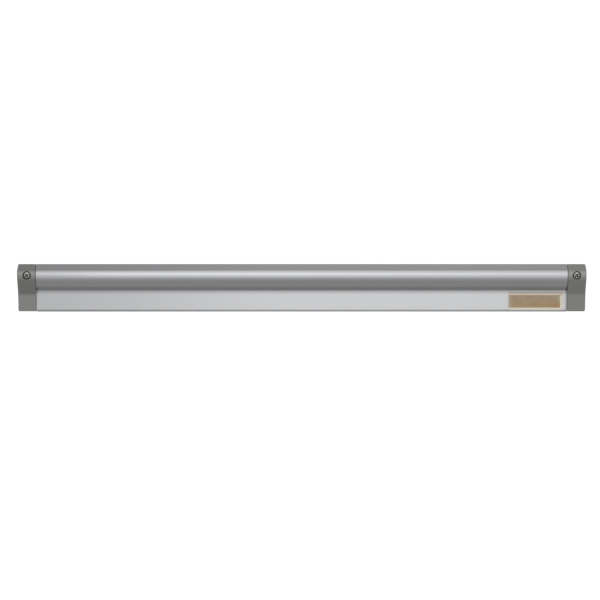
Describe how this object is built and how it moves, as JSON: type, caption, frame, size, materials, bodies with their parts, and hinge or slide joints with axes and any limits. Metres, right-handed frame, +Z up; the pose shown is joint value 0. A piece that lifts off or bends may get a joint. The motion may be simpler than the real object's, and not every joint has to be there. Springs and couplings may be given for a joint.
{
  "type": "order ticket rail",
  "caption": "Wall-mounted order ticket rail: an aluminium hood whose loose glass marbles wedge a pushed-up paper ticket against the back plate.",
  "frame": {"origin": "middle of the rail's flat back face, which lies on the wall", "axes": "+X along the rail to its right end as seen from the front, +Y into the wall, +Z up"},
  "size_m": [0.6096, 0.0391, 0.0528],
  "materials": {
    "satin_aluminium": "satin anodised, fine lines along its length",
    "moulded_grey": "matte grey moulding with a fine grain",
    "zinc_steel": "bright zinc plate",
    "gold_foil": "tan and gold foil with a pale border, no lettering",
    "marble_glass": "clear glass"
  },
  "bodies": {
    "rail": {"rail_extrusion": "satin_aluminium", "end_cap_left": "moulded_grey", "end_cap_right": "moulded_grey", "mounting_screw_left": "zinc_steel", "mounting_screw_right": "zinc_steel", "label_plate": "gold_foil"},
    "marble_01": {"marble_01": "marble_glass"},
    "marble_02": {"marble_02": "marble_glass"},
    "marble_03": {"marble_03": "marble_glass"},
    "marble_04": {"marble_04": "marble_glass"},
    "marble_05": {"marble_05": "marble_glass"},
    "marble_06": {"marble_06": "marble_glass"},
    "marble_07": {"marble_07": "marble_glass"},
    "marble_08": {"marble_08": "marble_glass"},
    "marble_09": {"marble_09": "marble_glass"},
    "marble_10": {"marble_10": "marble_glass"},
    "marble_11": {"marble_11": "marble_glass"},
    "marble_12": {"marble_12": "marble_glass"},
    "marble_13": {"marble_13": "marble_glass"},
    "marble_14": {"marble_14": "marble_glass"},
    "marble_15": {"marble_15": "marble_glass"},
    "marble_16": {"marble_16": "marble_glass"},
    "marble_17": {"marble_17": "marble_glass"},
    "marble_18": {"marble_18": "marble_glass"},
    "marble_19": {"marble_19": "marble_glass"},
    "marble_20": {"marble_20": "marble_glass"},
    "marble_21": {"marble_21": "marble_glass"},
    "marble_22": {"marble_22": "marble_glass"},
    "marble_23": {"marble_23": "marble_glass"},
    "marble_24": {"marble_24": "marble_glass"},
    "marble_25": {"marble_25": "marble_glass"},
    "marble_26": {"marble_26": "marble_glass"},
    "marble_27": {"marble_27": "marble_glass"},
    "marble_28": {"marble_28": "marble_glass"},
    "marble_29": {"marble_29": "marble_glass"},
    "marble_30": {"marble_30": "marble_glass"},
    "marble_31": {"marble_31": "marble_glass"},
    "marble_32": {"marble_32": "marble_glass"},
    "marble_33": {"marble_33": "marble_glass"},
    "marble_34": {"marble_34": "marble_glass"},
    "marble_35": {"marble_35": "marble_glass"},
    "marble_36": {"marble_36": "marble_glass"}
  },
  "joints": [
    {"name": "marble_01_lift", "type": "slide", "parent": "rail", "child": "marble_01", "axis": [0, -0.6401, 0.7683], "range_m": [0, 0.0064]},
    {"name": "marble_02_lift", "type": "slide", "parent": "rail", "child": "marble_02", "axis": [0, -0.6401, 0.7683], "range_m": [0, 0.0064]},
    {"name": "marble_03_lift", "type": "slide", "parent": "rail", "child": "marble_03", "axis": [0, -0.6401, 0.7683], "range_m": [0, 0.0064]},
    {"name": "marble_04_lift", "type": "slide", "parent": "rail", "child": "marble_04", "axis": [0, -0.6401, 0.7683], "range_m": [0, 0.0064]},
    {"name": "marble_05_lift", "type": "slide", "parent": "rail", "child": "marble_05", "axis": [0, -0.6401, 0.7683], "range_m": [0, 0.0064]},
    {"name": "marble_06_lift", "type": "slide", "parent": "rail", "child": "marble_06", "axis": [0, -0.6401, 0.7683], "range_m": [0, 0.0064]},
    {"name": "marble_07_lift", "type": "slide", "parent": "rail", "child": "marble_07", "axis": [0, -0.6401, 0.7683], "range_m": [0, 0.0064]},
    {"name": "marble_08_lift", "type": "slide", "parent": "rail", "child": "marble_08", "axis": [0, -0.6401, 0.7683], "range_m": [0, 0.0064]},
    {"name": "marble_09_lift", "type": "slide", "parent": "rail", "child": "marble_09", "axis": [0, -0.6401, 0.7683], "range_m": [0, 0.0064]},
    {"name": "marble_10_lift", "type": "slide", "parent": "rail", "child": "marble_10", "axis": [0, -0.6401, 0.7683], "range_m": [0, 0.0064]},
    {"name": "marble_11_lift", "type": "slide", "parent": "rail", "child": "marble_11", "axis": [0, -0.6401, 0.7683], "range_m": [0, 0.0064]},
    {"name": "marble_12_lift", "type": "slide", "parent": "rail", "child": "marble_12", "axis": [0, -0.6401, 0.7683], "range_m": [0, 0.0064]},
    {"name": "marble_13_lift", "type": "slide", "parent": "rail", "child": "marble_13", "axis": [0, -0.6401, 0.7683], "range_m": [0, 0.0064]},
    {"name": "marble_14_lift", "type": "slide", "parent": "rail", "child": "marble_14", "axis": [0, -0.6401, 0.7683], "range_m": [0, 0.0064]},
    {"name": "marble_15_lift", "type": "slide", "parent": "rail", "child": "marble_15", "axis": [0, -0.6401, 0.7683], "range_m": [0, 0.0064]},
    {"name": "marble_16_lift", "type": "slide", "parent": "rail", "child": "marble_16", "axis": [0, -0.6401, 0.7683], "range_m": [0, 0.0064]},
    {"name": "marble_17_lift", "type": "slide", "parent": "rail", "child": "marble_17", "axis": [0, -0.6401, 0.7683], "range_m": [0, 0.0064]},
    {"name": "marble_18_lift", "type": "slide", "parent": "rail", "child": "marble_18", "axis": [0, -0.6401, 0.7683], "range_m": [0, 0.0064]},
    {"name": "marble_19_lift", "type": "slide", "parent": "rail", "child": "marble_19", "axis": [0, -0.6401, 0.7683], "range_m": [0, 0.0064]},
    {"name": "marble_20_lift", "type": "slide", "parent": "rail", "child": "marble_20", "axis": [0, -0.6401, 0.7683], "range_m": [0, 0.0064]},
    {"name": "marble_21_lift", "type": "slide", "parent": "rail", "child": "marble_21", "axis": [0, -0.6401, 0.7683], "range_m": [0, 0.0064]},
    {"name": "marble_22_lift", "type": "slide", "parent": "rail", "child": "marble_22", "axis": [0, -0.6401, 0.7683], "range_m": [0, 0.0064]},
    {"name": "marble_23_lift", "type": "slide", "parent": "rail", "child": "marble_23", "axis": [0, -0.6401, 0.7683], "range_m": [0, 0.0064]},
    {"name": "marble_24_lift", "type": "slide", "parent": "rail", "child": "marble_24", "axis": [0, -0.6401, 0.7683], "range_m": [0, 0.0064]},
    {"name": "marble_25_lift", "type": "slide", "parent": "rail", "child": "marble_25", "axis": [0, -0.6401, 0.7683], "range_m": [0, 0.0064]},
    {"name": "marble_26_lift", "type": "slide", "parent": "rail", "child": "marble_26", "axis": [0, -0.6401, 0.7683], "range_m": [0, 0.0064]},
    {"name": "marble_27_lift", "type": "slide", "parent": "rail", "child": "marble_27", "axis": [0, -0.6401, 0.7683], "range_m": [0, 0.0064]},
    {"name": "marble_28_lift", "type": "slide", "parent": "rail", "child": "marble_28", "axis": [0, -0.6401, 0.7683], "range_m": [0, 0.0064]},
    {"name": "marble_29_lift", "type": "slide", "parent": "rail", "child": "marble_29", "axis": [0, -0.6401, 0.7683], "range_m": [0, 0.0064]},
    {"name": "marble_30_lift", "type": "slide", "parent": "rail", "child": "marble_30", "axis": [0, -0.6401, 0.7683], "range_m": [0, 0.0064]},
    {"name": "marble_31_lift", "type": "slide", "parent": "rail", "child": "marble_31", "axis": [0, -0.6401, 0.7683], "range_m": [0, 0.0064]},
    {"name": "marble_32_lift", "type": "slide", "parent": "rail", "child": "marble_32", "axis": [0, -0.6401, 0.7683], "range_m": [0, 0.0064]},
    {"name": "marble_33_lift", "type": "slide", "parent": "rail", "child": "marble_33", "axis": [0, -0.6401, 0.7683], "range_m": [0, 0.0064]},
    {"name": "marble_34_lift", "type": "slide", "parent": "rail", "child": "marble_34", "axis": [0, -0.6401, 0.7683], "range_m": [0, 0.0064]},
    {"name": "marble_35_lift", "type": "slide", "parent": "rail", "child": "marble_35", "axis": [0, -0.6401, 0.7683], "range_m": [0, 0.0064]},
    {"name": "marble_36_lift", "type": "slide", "parent": "rail", "child": "marble_36", "axis": [0, -0.6401, 0.7683], "range_m": [0, 0.0064]}
  ]
}
